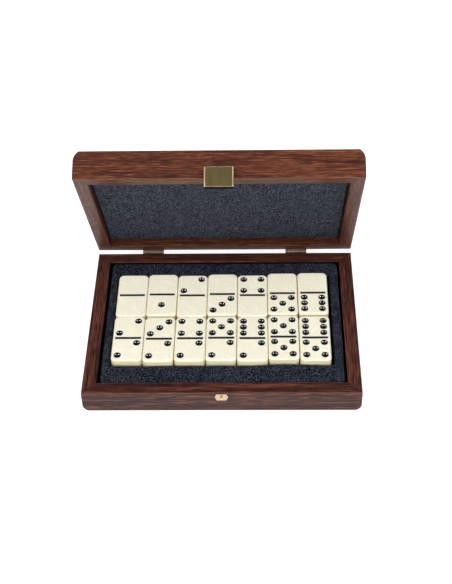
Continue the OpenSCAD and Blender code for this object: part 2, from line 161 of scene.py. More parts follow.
def new_material(name):
    """A material with its Principled shader and the object's own coordinates."""
    material = bpy.data.materials.new(name)
    material.use_nodes = True
    tree = material.node_tree
    tree.nodes.clear()
    shader = tree.nodes.new("ShaderNodeBsdfPrincipled")
    output = tree.nodes.new("ShaderNodeOutputMaterial")
    tree.links.new(shader.outputs[0], output.inputs["Surface"])
    return material, tree, shader, tree.nodes.new("ShaderNodeTexCoord").outputs["Object"]


def finish_shader(tree, shader, height=None, bump=0.3, depth=0.0002, **inputs):
    for name, value in inputs.items():
        put(tree, shader.inputs[name.replace("_", " ")], value)
    if height is not None:
        relief = add(tree, "ShaderNodeBump", {"Strength": bump, "Distance": depth, "Height": height})
        tree.links.new(relief.outputs[0], shader.inputs["Normal"])


# Effects that several materials share


def make_walnut_grain():
    """Walnut grain that runs along X: pores, streaks and wide bands."""
    tree, given, output = new_group(
        "walnut grain",
        [("Vector", "Vector", None), ("Light", "Color", (0.2, 0.08, 0.04, 1)),
         ("Middle", "Color", (0.1, 0.04, 0.02, 1)), ("Dark", "Color", (0.04, 0.01, 0.01, 1))],
        [("Colour", "Color"), ("Roughness", "Float"), ("Height", "Float")])
    place = given["Vector"]
    sway = add(tree, "ShaderNodeTexNoise", {"Vector": stretched(tree, place, 16, 34, 34), "Scale": 1.0,
                                            "Detail": 2.0}).outputs["Color"]
    sway = vector_maths(tree, "MULTIPLY", vector_maths(tree, "SUBTRACT", sway, (0.5, 0.5, 0.5)),
                        (0.0, 0.0018, 0.0018))
    waved = vector_maths(tree, "ADD", place, sway)
    bands = noise_value(tree, stretched(tree, waved, 9, 260, 260), 1.0, 3.0, 0.6)
    streaks = noise_value(tree, stretched(tree, waved, 26, 1450, 1450), 1.0, 1.0, 0.5)
    fibres = noise_value(tree, stretched(tree, waved, 150, 1700, 1700), 1.0, 1.0, 0.5)
    pores = noise_value(tree, stretched(tree, waved, 170, 2200, 2200), 1.0, 0.0, 0.5)
    figure = maths(tree, "ADD", maths(tree, "MULTIPLY", bands, 0.16), maths(tree, "MULTIPLY", streaks, 0.44))
    figure = maths(tree, "ADD", figure, maths(tree, "MULTIPLY", fibres, 0.40))
    colour = ramp(tree, figure, (0.37, (0, 0, 0)), (0.49, (0.5, 0.5, 0.5)), (0.62, (1, 1, 1)))
    low = blend_colours(tree, step_up(tree, colour, 0.0, 0.5), given["Dark"], given["Middle"])
    toned = blend_colours(tree, step_up(tree, colour, 0.5, 1.0), low, given["Light"])
    pore_mask = step_up(tree, pores, 0.42, 0.34)
    output_colour = blend_colours(tree, maths(tree, "MULTIPLY", pore_mask, 0.75), toned, given["Dark"])
    put(tree, output.inputs["Colour"], output_colour)
    put(tree, output.inputs["Roughness"], step_up(tree, figure, 0.35, 0.65, 0.38, 0.28))
    put(tree, output.inputs["Height"], maths(tree, "SUBTRACT", maths(tree, "MULTIPLY", streaks, 0.5), pore_mask))
    return tree


def make_nap():
    """The speckle and tufts of a short napped cloth."""
    tree, given, output = new_group(
        "cloth nap",
        [("Vector", "Vector", None), ("Low", "Float", 0.45), ("High", "Float", 0.6),
         ("Pale", "Color", (0.1, 0.1, 0.1, 1)), ("Deep", "Color", (0.01, 0.01, 0.01, 1))],
        [("Colour", "Color"), ("Height", "Float")])
    place = given["Vector"]
    fibres = noise_value(tree, place, 2600, 1.0, 0.5, 0.8)
    tufts = noise_value(tree, stretched(tree, place, 1.3, 1, 1), 1150, 1.0, 0.6, 1.5)
    clouds = noise_value(tree, place, 130, 3.0, 0.6)
    mixed = maths(tree, "ADD", maths(tree, "MULTIPLY", fibres, 0.2), maths(tree, "MULTIPLY", tufts, 0.8))
    shade = maths(tree, "ADD", mixed, maths(tree, "MULTIPLY", maths(tree, "SUBTRACT", clouds, 0.5), 0.10))
    put(tree, output.inputs["Colour"],
        blend_colours(tree, step_up(tree, shade, given["Low"], given["High"]), given["Deep"], given["Pale"]))
    put(tree, output.inputs["Height"], mixed)
    return tree


def make_brushing():
    """Fine scratches that run one way over satin metal, with a few dull spots."""
    tree, given, output = new_group(
        "brushed scratches",
        [("Vector", "Vector", None), ("Smooth", "Float", 0.2), ("Rough", "Float", 0.4)],
        [("Roughness", "Float"), ("Height", "Float"), ("Tarnish", "Float")])
    scratches = noise_value(tree, given["Vector"], 1.0, 3.0, 0.6)
    spots = noise_value(tree, given["Vector"], 0.11, 2.0, 0.6)
    spread = maths(tree, "SUBTRACT", given["Rough"], given["Smooth"])
    share = step_up(tree, maths(tree, "ADD", scratches, maths(tree, "SUBTRACT", spots, 0.5)), 0.3, 0.7)
    put(tree, output.inputs["Roughness"], maths(tree, "ADD", given["Smooth"], maths(tree, "MULTIPLY", share, spread)))
    put(tree, output.inputs["Height"], scratches)
    put(tree, output.inputs["Tarnish"], step_up(tree, spots, 0.42, 0.68))
    return tree


walnut_grain = make_walnut_grain()
cloth_nap = make_nap()
brushed_scratches = make_brushing()


def wood(name, on_lid, across):
    """Oiled walnut, its inner faces darkened by painted shade and the outer edge of its rim lit by a painted
    highlight.

    On the lid the grain is turned with it. With across it runs from front to back.
    """
    material, tree, shader, place = new_material(name)
    if on_lid:
        back = Matrix.Rotation(lid_open, 3, "X")
        place = add(tree, "ShaderNodeMapping", {"Vector": place, "Rotation": (lid_open, 0, 0),
                                                "Location": tuple(hinge_line - back @ hinge_line)}).outputs[0]
    parts = add(tree, "ShaderNodeSeparateXYZ", {0: place}).outputs
    outwards = maths(tree, "MAXIMUM",
                     maths(tree, "SUBTRACT", maths(tree, "ABSOLUTE", parts[0]), inner_x),
                     maths(tree, "SUBTRACT", maths(tree, "ABSOLUTE", parts[1]), inner_y))
    # Painted shade: the faces inside the walls are darkened towards black, nearly fully on the base
    inner_shade = LID_INNER_SHADE if on_lid else BASE_INNER_SHADE
    inner_shaded = maths(tree, "MULTIPLY", step_up(tree, outwards, 0.10 * MM, 0.01 * MM), inner_shade)
    rim = closed_box("lid_front_wall")[0].z if on_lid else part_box("base_front_wall")[1].z
    from_rim = maths(tree, "ABSOLUTE", maths(tree, "SUBTRACT", parts[2], rim))
    if not (on_lid or across):
        # The painted shade leaves the base's front and rear walls bare for a millimetre above the foam
        inner_shaded = maths(tree, "MULTIPLY", inner_shaded, step_up(tree, from_rim, 0.7 * MM, 1.1 * MM))
    thickness = -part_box("base_front_wall")[0].y - inner_y
    # Painted highlight: a lighter line along the outer arris of the rim's top
    edge_highlight = maths(tree, "MULTIPLY", step_up(tree, from_rim, 0.60 * MM, 0.15 * MM),
                   step_up(tree, outwards, thickness - 0.60 * MM, thickness - 0.15 * MM))
    # The base's board has longer and thicker streaks, and every board starts elsewhere in the grain
    along, upwards = (0.8, 1.0) if on_lid else (0.55, 0.5)
    place = add(tree, "ShaderNodeMapping", {
        "Vector": place, "Rotation": (0, 0, math.pi / 2 if across else 0),
        "Location": (0.31 * on_lid + 0.09 * across, 0.07 * on_lid + 0.23 * across, 0.11),
        "Scale": (1.0, along, upwards) if across else (along, 1.0, upwards)}).outputs[0]
    light, middle, dark = LID_TONES if on_lid else BASE_TONES
    grain = place_group(tree, walnut_grain, {"Vector": place, "Light": (*light, 1), "Middle": (*middle, 1),
                                             "Dark": (*dark, 1)})
    # Painted shade darkens the inner faces, and below it a painted highlight lightens the rim's outer edge
    colour = blend_colours(tree, inner_shaded, grain["Colour"], (*INNER_SHADE_BLACK, 1))
    colour = blend_colours(tree, maths(tree, "MULTIPLY", edge_highlight, 0.6), colour, (*EDGE_HIGHLIGHT_TONE, 1))
    finish_shader(tree, shader, grain["Height"], 0.12, 0.0001, Base_Color=colour,
                  Roughness=grain["Roughness"], Specular_IOR_Level=0.36)
    return material


def cloth(name, pale, deep, low, high):
    """A napped cloth. Its tufts turn from the deep to the pale colour between low and high."""
    material, tree, shader, place = new_material(name)
    nap = place_group(tree, cloth_nap, {"Vector": place, "Low": low, "High": high, "Pale": (*pale, 1),
                                        "Deep": (*deep, 1)})
    finish_shader(tree, shader, nap["Height"], 0.8, 0.0009, Base_Color=nap["Colour"], Roughness=0.95,
                  Specular_IOR_Level=0.08)
    return material


def brass(name, colour, dull, smooth, rough, along, bump=0.06):
    """Brass whose scratches follow the stretch given by along."""
    material, tree, shader, place = new_material(name)
    brushed = place_group(tree, brushed_scratches, {"Vector": stretched(tree, place, *along),
                                                    "Smooth": smooth, "Rough": rough})
    shade = blend_colours(tree, brushed["Tarnish"], (*colour, 1), (*dull, 1))
    finish_shader(tree, shader, brushed["Height"], bump, 0.0001, Base_Color=shade, Metallic=1.0,
                  Roughness=brushed["Roughness"])
    return material


def ivory_resin():
    """Cast ivory-coloured resin: faint pearly swirls, and painted light that gives the upright sides a yellower tone
    than the top.
    """
    material, tree, shader, place = new_material("ivory_resin")
    drift = add(tree, "ShaderNodeTexNoise", {"Vector": stretched(tree, place, 55, 70, 55), "Scale": 1.0,
                                             "Detail": 1.0}).outputs["Color"]
    bent = vector_maths(tree, "ADD", place, scaled(tree, drift, 0.03))
    turned = add(tree, "ShaderNodeMapping", {"Vector": bent, "Rotation": (0, 0, 0.7)}).outputs[0]
    swirl = noise_value(tree, stretched(tree, turned, 55, 330, 200), 1.0, 1.0, 0.5)
    pearl = step_up(tree, swirl, 0.50, 0.70)
    body = blend_colours(tree, pearl, (0.855, 0.805, 0.645, 1), (0.895, 0.862, 0.738, 1))
    normal = add(tree, "ShaderNodeSeparateXYZ", {0: tree.nodes["Texture Coordinate"].outputs["Normal"]})
    # Painted light: the upright faces take the yellower side tone
    side = step_up(tree, maths(tree, "ABSOLUTE", normal.outputs[2]), 0.75, 0.15)  # 1 where the face is upright
    toned = blend_colours(tree, side, body, (0.86, 0.77, 0.53, 1))
    finish_shader(tree, shader, swirl, 0.05, 0.0001, Base_Color=toned, Roughness=0.24,
                  Subsurface_Weight=0.25, Subsurface_Radius=(1.0, 0.75, 0.35), Subsurface_Scale=0.0018,
                  Specular_IOR_Level=0.45, Coat_Weight=0.15, Coat_Roughness=0.08)
    return material


def enamel(name, black, smooth, level, coat):
    """Black enamel with a few scuffs where the resin shows through."""
    material, tree, shader, place = new_material(name)
    scuffs = step_up(tree, noise_value(tree, place, 900, 3.0, 0.7, 1.0), 0.70, 0.78)
    colour = blend_colours(tree, scuffs, (*black, 1), (0.12, 0.11, 0.11, 1))
    finish_shader(tree, shader, Base_Color=colour, Roughness=step_up(tree, scuffs, 0, 1, smooth, 0.5),
                  Specular_IOR_Level=level, Coat_Weight=coat, Coat_Roughness=0.04, Coat_IOR=1.7)
    return material


# How strongly painted shade darkens the inner faces of the lid and of the base, and its colour
LID_INNER_SHADE, BASE_INNER_SHADE = 0.15, 0.94
INNER_SHADE_BLACK = (0.004, 0.002, 0.002)
# The colour of the painted highlight along the rim's outer edge
EDGE_HIGHLIGHT_TONE = (0.27, 0.115, 0.070)
LID_TONES = (0.212, 0.072, 0.036), (0.094, 0.027, 0.013), (0.032, 0.009, 0.007)
BASE_TONES = (0.160, 0.052, 0.032), (0.058, 0.018, 0.013), (0.014, 0.005, 0.006)
WOOD = {(on_lid, across): wood(f"walnut_{shell}_{run}", on_lid, across)
        for on_lid, shell in ((False, "base"), (True, "lid")) for across, run in ((False, "ends"), (True, "sides"))}
LID_FELT = cloth("lid_felt", (0.165, 0.182, 0.240), (0.004, 0.005, 0.008), 0.47, 0.62)
FOAM_FLOCK = cloth("foam_flock", (0.083, 0.096, 0.140), (0.001, 0.001, 0.002), 0.515, 0.60)
SATIN_BRASS = brass("satin_brass", (0.350, 0.265, 0.116), (0.305, 0.230, 0.100), 0.44, 0.52, (1600, 120, 120), 0.02)
# Polished brass for the latch's rails, also used for its painted highlight strips
EDGE_AND_HIGHLIGHT_BRASS = brass("polished_edge_and_highlight_brass", (1.00, 0.80, 0.55), (0.92, 0.72, 0.48), 0.42, 0.50, (300, 300, 300))
HINGE_BRASS = brass("hinge_brass", (0.88, 0.73, 0.56), (0.62, 0.49, 0.35), 0.30, 0.46, (260, 900, 900))
KEEPER_BRASS = brass("keeper_brass", (0.72, 0.58, 0.42), (0.62, 0.49, 0.34), 0.16, 0.30, (500, 500, 500))
STUD_BRASS = brass("stud_brass", (0.95, 0.74, 0.36), (0.80, 0.60, 0.28), 0.34, 0.48, (500, 500, 500))
IVORY = ivory_resin()
ENAMEL = enamel("pip_enamel", (0.006, 0.006, 0.008), 0.05, 1.0, 1.0)
LINE_ENAMEL = enamel("line_enamel", (0.022, 0.019, 0.018), 0.5, 0.3, 0.0)
# Black lacquer for the latch's lip and rail backs: partly a dark finish, partly painted shadow
LACQUER_AND_SHADOW_BLACK = enamel("black_lacquer_and_painted_shadow", (0.006, 0.005, 0.005), 0.7, 0.08, 0.0)


def dress(node, *materials):
    """Gives a CAD node its finish."""
    slots = frame["nodes"][node].data.materials
    slots.clear()
    for material in materials:
        slots.append(material)


for shell in ("base", "lid"):
    for side in ("front", "rear", "left", "right"):
        dress(f"{shell}_{side}_wall", WOOD[shell == "lid", side in ("left", "right")])
    dress(f"{shell}_panel", WOOD[shell == "lid", False])
for side in ("left", "right"):
    for piece in ("base_leaf", "lid_leaf", "pin"):
        dress(f"{side}_hinge_{piece}", HINGE_BRASS)
for node in ("latch_mount", "latch_pin", "latch_brads"):
    dress(node, SATIN_BRASS)
dress("keeper_stud", STUD_BRASS)
tiles = sorted(name for name in frame["nodes"] if name.startswith("domino_"))
for node in tiles:
    dress(node, IVORY)


# Mesh helpers


def new_piece(name, bm, materials, turned=False):
    """An object at the origin from a bmesh in place. turned sets a piece that is drawn on the closed lid."""
    if turned:
        bmesh.ops.transform(bm, matrix=lid_turn, verts=bm.verts)
    bmesh.ops.recalc_face_normals(bm, faces=bm.faces)
    mesh = bpy.data.meshes.new(name)
    bm.to_mesh(mesh)
    bm.free()
    for material in materials:
        mesh.materials.append(material)
    piece = bpy.data.objects.new(name, mesh)
    bpy.context.scene.collection.objects.link(piece)
    return piece


def shade_smooth(piece, angle=35):
    """Smooth shading, except over edges sharper than the angle."""
    mesh = piece.data
    mesh.shade_smooth()
    mesh.set_sharp_from_angle(angle=math.radians(angle))


def level_faces(piece):
    """Keeps flat faces flat in the light beside their eased edges."""
    modifier = piece.modifiers.new("level faces", "WEIGHTED_NORMAL")
    modifier.keep_sharp = True


def bevelled_box(bm, low, high, width, segments=2, material=0):
    """A box with eased edges, added to the bmesh."""
    made = bmesh.ops.create_cube(bm, size=1.0)
    size = Vector(high) - Vector(low)
    middle = (Vector(high) + Vector(low)) / 2
    bmesh.ops.transform(bm, verts=made["verts"],
                        matrix=Matrix.Translation(middle) @ Matrix.Diagonal((*size, 1.0)))
    edges = {edge for vertex in made["verts"] for edge in vertex.link_edges}
    before = set(bm.faces)
    faces = {face for vertex in made["verts"] for face in vertex.link_faces}
    bevel = bmesh.ops.bevel(bm, geom=list(edges), offset=width, segments=segments, profile=0.5, affect="EDGES")
    for face in faces | set(bevel["faces"]) | (set(bm.faces) - before):
        if face.is_valid:
            face.material_index = material


def barrel(bm, centre, radius, length):
    """A round barrel along X with eased ends, in the first material."""
    ease = 0.15 * MM
    rings = [(-length / 2, radius - ease), (-length / 2 + ease, radius),
             (length / 2 - ease, radius), (length / 2, radius - ease)]
    turns = 32
    loops = [[bm.verts.new(Vector(centre) + Vector((x, r * math.cos(a), r * math.sin(a))))
              for a in (2 * math.pi * k / turns for k in range(turns))] for x, r in rings]
    for one, two in zip(loops, loops[1:]):
        for k in range(turns):
            bm.faces.new((one[k], one[(k + 1) % turns], two[(k + 1) % turns], two[k]))
    bm.faces.new(loops[0][::-1])
    bm.faces.new(loops[-1])


# The linings. Their outlines have so many points along each side and round each corner.
PER_SIDE, PER_CORNER = 56, 6


def rounded_loop(low, high, radius):
    """Points round a rounded rectangle, as many on every side, so that two such loops match."""
    points = []
    corners = [(high[0], low[1], -90), (high[0], high[1], 0), (low[0], high[1], 90), (low[0], low[1], 180)]
    for place, (x, y, start) in enumerate(corners):
        middle = Vector((x - math.copysign(radius, x - (low[0] + high[0]) / 2),
                         y - math.copysign(radius, y - (low[1] + high[1]) / 2)))
        arc = [middle + radius * Vector((math.cos(a), math.sin(a)))
               for a in (math.radians(start + 90 * k / PER_CORNER) for k in range(PER_CORNER + 1))]
        points += arc
        x, y, start = corners[(place + 1) % 4]
        following = Vector((x - math.copysign(radius, x - (low[0] + high[0]) / 2),
                            y - math.copysign(radius, y - (low[1] + high[1]) / 2)))
        following += radius * Vector((math.cos(math.radians(start)), math.sin(math.radians(start))))
        points += [arc[-1].lerp(following, k / PER_SIDE) for k in range(1, PER_SIDE)]
    return points


def loft(bm, rings, closed=False):
    """Joins rings of points, and closes the last back to the first where asked."""
    loops = [[bm.verts.new(point) for point in ring] for ring in rings]
    pairs = list(zip(loops, loops[1:])) + ([(loops[-1], loops[0])] if closed else [])
    count = len(loops[0])
    for one, two in pairs:
        for k in range(count):
            bm.faces.new((one[k], one[(k + 1) % count], two[(k + 1) % count], two[k]))
    return loops


def foam_insert():
    """A flocked block with a well, softly uneven, eased along its edges and swollen towards the right wall."""
    low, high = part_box("foam_insert")
    high.x += 0.7 * MM
    outer_corner, well_corner = 4 * MM, 1.5 * MM
    side_least, end_least = 4 * MM, 8 * MM
    inner = [vertex.co for vertex in frame["nodes"]["foam_insert"].data.vertices
             if low.x + side_least < vertex.co.x < high.x - side_least
             and low.y + end_least < vertex.co.y < high.y - end_least]
    well_low = Vector([min(point[axis] for point in inner) for axis in range(3)])
    well_high = Vector([max(point[axis] for point in inner) for axis in range(3)])
    ease = 1.1 * MM
    bottom = low.z + 0.05 * MM

    def ring(share, drop, inset):
        """A loop between the outer wall at 0 and the well at 1, drop below the top, drawn in by inset."""
        outer = rounded_loop((low.x + inset, low.y + inset), (high.x - inset, high.y - inset),
                             outer_corner - inset)
        well = rounded_loop((well_low.x - inset, well_low.y - inset), (well_high.x + inset, well_high.y + inset),
                            well_corner + inset)
        return [Vector((*a.lerp(b, share), high.z - drop)) for a, b in zip(outer, well)]

    depth = high.z - bottom
    arc = [math.radians(angle) for angle in (0, 18, 36, 54, 72, 90)]
    down, over = 6, 12
    rings = [ring(0, depth * (1 - k / down) + ease * k / down, 0) for k in range(down)]
    rings += [ring(0, ease * (1 - math.sin(a)), ease * (1 - math.cos(a))) for a in arc]
    rings += [ring(k / over, 0, ease) for k in range(1, over)]
    rings += [ring(1, ease * (1 - math.sin(a)), ease * (1 - math.cos(a))) for a in reversed(arc)]
    rings += [ring(1, depth * k / down + ease * (1 - k / down), 0) for k in range(1, down + 1)]
    bm = bmesh.new()
    loft(bm, rings, closed=True)
    bmesh.ops.recalc_face_normals(bm, faces=bm.faces)
    bulge, bulge_x, bulge_half = 1.3 * MM, 50 * MM, 20 * MM
    for vertex in bm.verts:
        height = (vertex.co.z - bottom) / depth
        swell = noise.noise(vertex.co * 90) * 0.22 + noise.noise(vertex.co * 420) * 0.10 - 0.14
        vertex.co += vertex.normal * swell * MM * min(1.0, height * 1.5)
        if low.y + 3 * MM < vertex.co.y < well_low.y + 1 * MM:
            # The front strip leans over the well near the sixth tile
            share = (vertex.co.y - low.y) / (well_low.y - low.y)
            vertex.co.y += bulge * share * height * math.exp(-((vertex.co.x - bulge_x) / bulge_half) ** 2)
    piece = new_piece("foam_insert_flocked", bm, [FOAM_FLOCK])
    shade_smooth(piece, 60)
    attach(piece, "base")
    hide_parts("foam_insert")


def lid_pad():
    """The felt-covered pad of the lid: slightly crowned, its felt turned over the edges."""
    low, high = closed_box("lid_pad")
    ease = 1.4 * MM
    corner, least_corner = 2.2 * MM, 1.5 * MM

    def ring(drop, inset):
        loop = rounded_loop((low.x + inset, low.y + inset), (high.x - inset, high.y - inset),
                            max(least_corner, corner - inset))
        return [Vector((point.x, point.y, low.z + drop)) for point in loop]

    top = high.z - low.z
    bm = bmesh.new()
    down = 5
    rings = [ring(top - 0.05 * MM, 0)] + [ring(ease + (top - ease) * (1 - k / down), 0) for k in range(1, down + 1)]
    rings += [ring(ease * (1 - math.sin(a)), ease * (1 - math.cos(a)))
              for a in (math.radians(angle) for angle in (18, 36, 54, 72, 90))]
    middle = (low + high) / 2
    half = (high - low) / 2
    steps = 16
    last = rings[-1]
    for k in range(1, steps):
        share = 1 - k / steps
        rings.append([Vector((middle.x + (point.x - middle.x) * share, middle.y + (point.y - middle.y) * share,
                              low.z)) for point in last])
    loops = loft(bm, rings)
    bm.faces.new(loops[0][::-1])
    bm.faces.new(loops[-1])
    bmesh.ops.recalc_face_normals(bm, faces=bm.faces)
    for vertex in bm.verts:
        if vertex.co.z < low.z + top / 2:
            across = 1 - max(abs(vertex.co.x - middle.x) / half.x, abs(vertex.co.y - middle.y) / half.y)
            sink = 0.35 * math.exp(-across * 9)
            vertex.co.z += (sink + 0.12 + 0.10 * noise.noise(vertex.co * 60)) * MM
    piece = new_piece("lid_pad_felted", bm, [LID_FELT], turned=True)
    shade_smooth(piece, 60)
    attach(piece, "lid")
    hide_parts("lid_pad")


def floor_felt():
    """The felt that is laid on the floor of the base."""
    low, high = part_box("floor_liner")
    bm = bmesh.new()
    columns, rows = 60, 44
    faces = {}
    for level, z in enumerate((low.z + 0.02 * MM, high.z)):
        for i in range(columns + 1):
            for j in range(rows + 1):
                x = low.x + (high.x - low.x) * i / columns
                y = low.y + (high.y - low.y) * j / rows
                dip = 0.06 * MM * (noise.noise(Vector((x, y, 0)) * 80) - 1) if level else 0.0
                faces[level, i, j] = bm.verts.new((x, y, z + dip))
    for i in range(columns):
        for j in range(rows):
            for level in (0, 1):
                bm.faces.new([faces[level, a, b] for a, b in ((i, j), (i + 1, j), (i + 1, j + 1), (i, j + 1))])
    rim = ([(i, 0) for i in range(columns)] + [(columns, j) for j in range(rows)]
           + [(i, rows) for i in range(columns, 0, -1)] + [(0, j) for j in range(rows, 0, -1)])
    for one, two in zip(rim, rim[1:] + rim[:1]):
        bm.faces.new([faces[0, *one], faces[0, *two], faces[1, *two], faces[1, *one]])
    piece = new_piece("floor_felt", bm, [LID_FELT])
    shade_smooth(piece, 60)
    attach(piece, "base")
    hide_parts("floor_liner")


# Brass


def latch_plate():
    """A satin plate between two polished rails, with painted highlight strips along its bottom and top, a black
    lacquered lip below that also serves as painted shadow, and two barrels above.
    """
    low, high = closed_box("latch_flap")
    # Drawn a hair inside its solid at the left and below, and clear of the keeper behind
    low += Vector((0.5, 0, 0.4)) * MM
    back = high.y - 0.55 * MM
    rail = 0.9 * MM
    left, right = low.x + rail / 2, high.x - rail / 2
    face_out = low.y + 0.3 * MM
    lit = low.z + 0.12 * MM
    satin, bright, black = 0, 1, 2
    bm = bmesh.new()
    bevelled_box(bm, (left, face_out, low.z + 0.1 * MM), (right, face_out + 1.0 * MM, high.z - 0.05 * MM),
                 0.12 * MM, 2, satin)
    # Painted highlights: thin raised strips of polished brass along the bottom and top of the face
    for z, height in ((lit, 0.45 * MM), (high.z - 0.32 * MM, 0.32 * MM)):
        bevelled_box(bm, (left, face_out - 0.06 * MM, z), (right, face_out + 0.7 * MM, z + height),
                     0.12 * MM, 3, bright)
    # Painted shadow: the lip is black lacquer, as dark as the shade under the plate
    bevelled_box(bm, (left, face_out + 0.15 * MM, low.z), (right, back, low.z + 2.8 * MM), 0.06 * MM, 2, black)
    for start in (low.x, high.x - rail):
        bevelled_box(bm, (start, low.y, lit), (start + rail, low.y + 1.5 * MM, high.z), 0.30 * MM, 4, bright)
        # The backs of the rails, black as painted shadow
        bevelled_box(bm, (start, low.y + 0.5 * MM, low.z), (start + rail, back, high.z - 0.1 * MM),
                     0.15 * MM, 2, black)
    pin_low, pin_high = closed_box("latch_pin")
    axis = (pin_low + pin_high) / 2
    # The barrels leave the middle of the pin to the mount's barrel
    inner, radius = 4.7 * MM, 1.5 * MM
    for side in (-1, 1):
        start = side * inner
        end = side * right
        barrel(bm, ((start + end) / 2, axis.y, axis.z), radius, abs(end - start))
        bevelled_box(bm, (min(start, end), face_out + 0.5 * MM, axis.z - radius),
                     (max(start, end), axis.y, axis.z + radius), 0.1 * MM)
    piece = new_piece("latch_plate", bm, [SATIN_BRASS, EDGE_AND_HIGHLIGHT_BRASS, LACQUER_AND_SHADOW_BLACK], turned=True)
    shade_smooth(piece, 40)
    level_faces(piece)
    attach(piece, "latch")
    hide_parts("latch_flap")


def keeper():
    """The pointed plate that the stud stands on, with eased edges."""
    low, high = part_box("keeper_plate")
    middle = (low + high) / 2
    flat = 3.6 * MM  # half of its straight top and bottom edges
    outline = [(low.x, middle.z), (-flat, low.z), (flat, low.z), (high.x, middle.z), (flat, high.z), (-flat, high.z)]
    bm = bmesh.new()
    back = [bm.verts.new((x, high.y, z)) for x, z in outline]
    front = [bm.verts.new((x, low.y, z)) for x, z in outline]
    bm.faces.new(back)
    front_face = bm.faces.new(front[::-1])
    for k in range(6):
        bm.faces.new((front[k], front[(k + 1) % 6], back[(k + 1) % 6], back[k]))
    bmesh.ops.bevel(bm, geom=list(front_face.edges), offset=0.35 * MM, segments=3, profile=0.6, affect="EDGES")
    piece = new_piece("keeper_plate_eased", bm, [KEEPER_BRASS])
    shade_smooth(piece, 40)
    level_faces(piece)
    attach(piece, "base")
    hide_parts("keeper_plate")


# Geometry Nodes: inlays of the tiles and screws of the hinges


def new_shape_tree(name, inputs):
    tree = bpy.data.node_groups.new(name, "GeometryNodeTree")
    tree.is_modifier = True
    tree.interface.new_socket("Geometry", in_out="INPUT", socket_type="NodeSocketGeometry")
    for socket, kind, value in inputs:
        made = tree.interface.new_socket(socket, in_out="INPUT", socket_type="NodeSocket" + kind)
        if value is not None:
            made.default_value = value
    tree.interface.new_socket("Geometry", in_out="OUTPUT", socket_type="NodeSocketGeometry")
    entry = tree.nodes.new("NodeGroupInput")
    return tree, {socket.name: socket for socket in entry.outputs}, tree.nodes.new("NodeGroupOutput")


def make_inlay_tree():
    """Black enamel in the dishes and the line of a tile. The points are the middles of its pips."""
    tree, given, output = new_shape_tree("tile inlay", [
        ("Pip Radius", "Float", 2.875 * MM), ("Dish Depth", "Float", 1.7 * MM), ("Enamel", "Float", 0.12 * MM),
        ("Line Middle", "Vector", None), ("Line Length", "Float", 20.3 * MM), ("Line Width", "Float", 2.3 * MM),
        ("Line Depth", "Float", 0.6 * MM), ("Finish", "Material", None), ("Line Finish", "Material", None)])
    disc = add(tree, "GeometryNodeMeshCylinder", {"Vertices": 32, "Side Segments": 1, "Fill Segments": 9,
                                                  "Radius": given["Pip Radius"], "Depth": given["Enamel"]},
               fill_type="TRIANGLE_FAN")
    place = add(tree, "ShaderNodeSeparateXYZ", {0: tree.nodes.new("GeometryNodeInputPosition").outputs[0]})
    square = maths(tree, "ADD", maths(tree, "MULTIPLY", place.outputs[0], place.outputs[0]),
                   maths(tree, "MULTIPLY", place.outputs[1], place.outputs[1]))
    radius, depth = given["Pip Radius"], given["Dish Depth"]
    ball = maths(tree, "DIVIDE", maths(tree, "ADD", maths(tree, "MULTIPLY", radius, radius),
                                       maths(tree, "MULTIPLY", depth, depth)), maths(tree, "MULTIPLY", depth, 2.0))
    sunk = maths(tree, "SUBTRACT", maths(tree, "SUBTRACT", ball, depth),
                 maths(tree, "SQRT", maths(tree, "SUBTRACT", maths(tree, "MULTIPLY", ball, ball), square)))
    offset = add(tree, "ShaderNodeCombineXYZ", {"Z": sunk})
    dish = add(tree, "GeometryNodeSetPosition", {"Geometry": disc.outputs["Mesh"], "Offset": offset.outputs[0]})
    pips = add(tree, "GeometryNodeInstanceOnPoints", {"Points": given["Geometry"],
                                                      "Instance": dish.outputs["Geometry"]})
    half = maths(tree, "MULTIPLY", given["Line Depth"], 0.8)
    size = add(tree, "ShaderNodeCombineXYZ", {"X": given["Line Length"], "Y": given["Line Width"], "Z": half})
    bar = add(tree, "GeometryNodeMeshCube", {"Size": size.outputs[0]})
    bar_place = add(tree, "GeometryNodeTransform", {"Geometry": bar.outputs["Mesh"],
                                                    "Translation": given["Line Middle"]})
    real = add(tree, "GeometryNodeRealizeInstances", {"Geometry": pips.outputs[0]})
    finish = add(tree, "GeometryNodeSetMaterial", {"Geometry": real.outputs[0], "Material": given["Finish"]})
    bar_finish = add(tree, "GeometryNodeSetMaterial", {"Geometry": bar_place.outputs[0],
                                                       "Material": given["Line Finish"]})
    joined = tree.nodes.new("GeometryNodeJoinGeometry")
    put(tree, joined.inputs[0], bar_finish.outputs[0])
    put(tree, joined.inputs[0], finish.outputs[0])
    put(tree, output.inputs[0], joined.outputs[0])
    return tree


